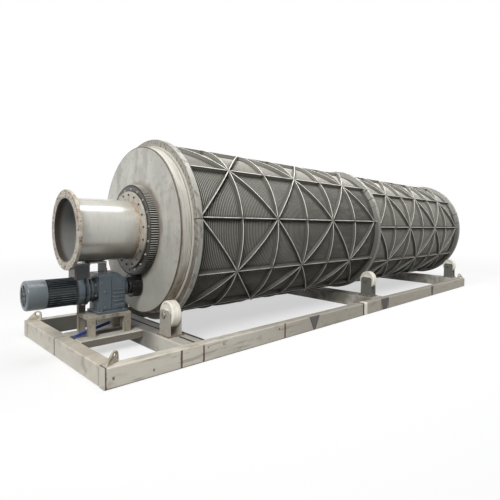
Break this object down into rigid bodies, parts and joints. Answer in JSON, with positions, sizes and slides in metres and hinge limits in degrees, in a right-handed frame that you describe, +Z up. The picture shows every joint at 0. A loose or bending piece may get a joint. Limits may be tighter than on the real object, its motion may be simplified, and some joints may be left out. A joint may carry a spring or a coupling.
{
  "type": "rotary drum screen",
  "caption": "Horizontal rotary drum screen: ribbed wedge-wire drum on rollers, turned by a gear ring and geared motor, on a welded skid with a flanged feed pipe.",
  "frame": {"origin": "bottom centre of the whole machine, on the floor under the middle of its length", "axes": "+X along the drum axis from the feed end to the discharge end, +Z up, -Y towards the side shown in front"},
  "size_m": [7.47, 2.27, 2.2329],
  "materials": {
    "frame_steel": "weathered, beige grey stainless steel",
    "drum_steel": "pickled stainless plate",
    "screen_wire": "fine wedge wire, matt",
    "gear_steel": "dark machined steel",
    "pinion_steel": "blackened steel, greased",
    "shaft_steel": "turned steel",
    "bolt_steel": "bright bolts",
    "drive_paint": "blue grey paint, satin",
    "nylon": "cream cast nylon",
    "rod_paint": "blue, glossy"
  },
  "bodies": {
    "base_frame": {"near_rail": "frame_steel", "far_rail": "frame_steel", "rail_end_caps": "frame_steel", "front_cross_member": "frame_steel", "head_cross_members": "frame_steel", "mid_cross_members": "frame_steel", "tail_cross_members": "frame_steel", "drive_beams": "frame_steel", "lifting_lugs": "frame_steel", "stand_legs": "frame_steel", "stand_plate": "frame_steel", "stand_rails": "frame_steel", "stand_brace_rod": "rod_paint", "gearbox_housing": "drive_paint", "gearbox_feet": "drive_paint", "gearbox_output_cover": "drive_paint", "gearbox_foot_bolts": "drive_paint", "motor_adapter": "drive_paint", "motor_end_shield": "drive_paint", "motor_body": "drive_paint", "motor_fan_cowl": "drive_paint", "terminal_box": "drive_paint", "terminal_box_lid": "drive_paint", "cable_gland": "drive_paint", "inlet_flange": "drum_steel", "inlet_pipe": "drum_steel", "pipe_mounting_flange": "drum_steel", "mounting_flange_bolts": "bolt_steel", "slewing_inner_ring": "gear_steel", "head_roller_brackets": "frame_steel", "mid_roller_brackets": "frame_steel", "tail_roller_brackets": "frame_steel", "roller_axles": "bolt_steel", "roller_axle_nuts": "bolt_steel"},
    "drum": {"head_plate": "drum_steel", "head_shell": "drum_steel", "head_ring": "drum_steel", "front_screen_basket": "screen_wire", "front_long_bars": "drum_steel", "front_hoops": "drum_steel", "front_diagonal_braces": "drum_steel", "mid_riding_ring": "drum_steel", "rear_screen_basket": "screen_wire", "rear_long_bars": "drum_steel", "rear_hoops": "drum_steel", "rear_diagonal_braces": "drum_steel", "tail_riding_ring": "drum_steel", "slewing_gear_ring": "gear_steel", "gear_seat_ring": "gear_steel", "gear_ring_bolts": "bolt_steel"},
    "pinion": {"drive_pinion": "pinion_steel", "output_shaft": "shaft_steel", "pinion_collar": "shaft_steel"},
    "head_near_roller": {"head_near_roller": "nylon"},
    "head_far_roller": {"head_far_roller": "nylon"},
    "mid_near_roller": {"mid_near_roller": "nylon"},
    "mid_far_roller": {"mid_far_roller": "nylon"},
    "tail_near_roller": {"tail_near_roller": "nylon"},
    "tail_far_roller": {"tail_far_roller": "nylon"}
  },
  "joints": [
    {"name": "drum_spin", "type": "hinge", "parent": "base_frame", "child": "drum", "pos_m": [-2.735, 0, 1.233], "axis": [1, 0, 0], "continuous": true},
    {"name": "pinion_spin", "type": "hinge", "parent": "base_frame", "child": "pinion", "pos_m": [-2.785, 0, 0.633], "axis": [1, 0, 0], "continuous": true},
    {"name": "head_near_roller_spin", "type": "hinge", "parent": "base_frame", "child": "head_near_roller", "pos_m": [-2.687, -0.61712, 0.398], "axis": [1, 0, 0], "continuous": true},
    {"name": "head_far_roller_spin", "type": "hinge", "parent": "base_frame", "child": "head_far_roller", "pos_m": [-2.687, 0.61712, 0.398], "axis": [1, 0, 0], "continuous": true},
    {"name": "mid_near_roller_spin", "type": "hinge", "parent": "base_frame", "child": "mid_near_roller", "pos_m": [0.505, -0.81244, 0.44], "axis": [1, 0, 0], "continuous": true},
    {"name": "mid_far_roller_spin", "type": "hinge", "parent": "base_frame", "child": "mid_far_roller", "pos_m": [0.505, 0.81244, 0.44], "axis": [1, 0, 0], "continuous": true},
    {"name": "tail_near_roller_spin", "type": "hinge", "parent": "base_frame", "child": "tail_near_roller", "pos_m": [3.64, -0.81244, 0.44], "axis": [1, 0, 0], "continuous": true},
    {"name": "tail_far_roller_spin", "type": "hinge", "parent": "base_frame", "child": "tail_far_roller", "pos_m": [3.64, 0.81244, 0.44], "axis": [1, 0, 0], "continuous": true}
  ],
  "couplings": [
    {"joint": "pinion_spin", "follows": "drum_spin", "ratio": -4},
    {"joint": "head_near_roller_spin", "follows": "drum_spin", "ratio": -6.6889},
    {"joint": "head_far_roller_spin", "follows": "drum_spin", "ratio": -6.6889},
    {"joint": "mid_near_roller_spin", "follows": "drum_spin", "ratio": -7.4074},
    {"joint": "mid_far_roller_spin", "follows": "drum_spin", "ratio": -7.4074},
    {"joint": "tail_near_roller_spin", "follows": "drum_spin", "ratio": -7.4074},
    {"joint": "tail_far_roller_spin", "follows": "drum_spin", "ratio": -7.4074}
  ]
}
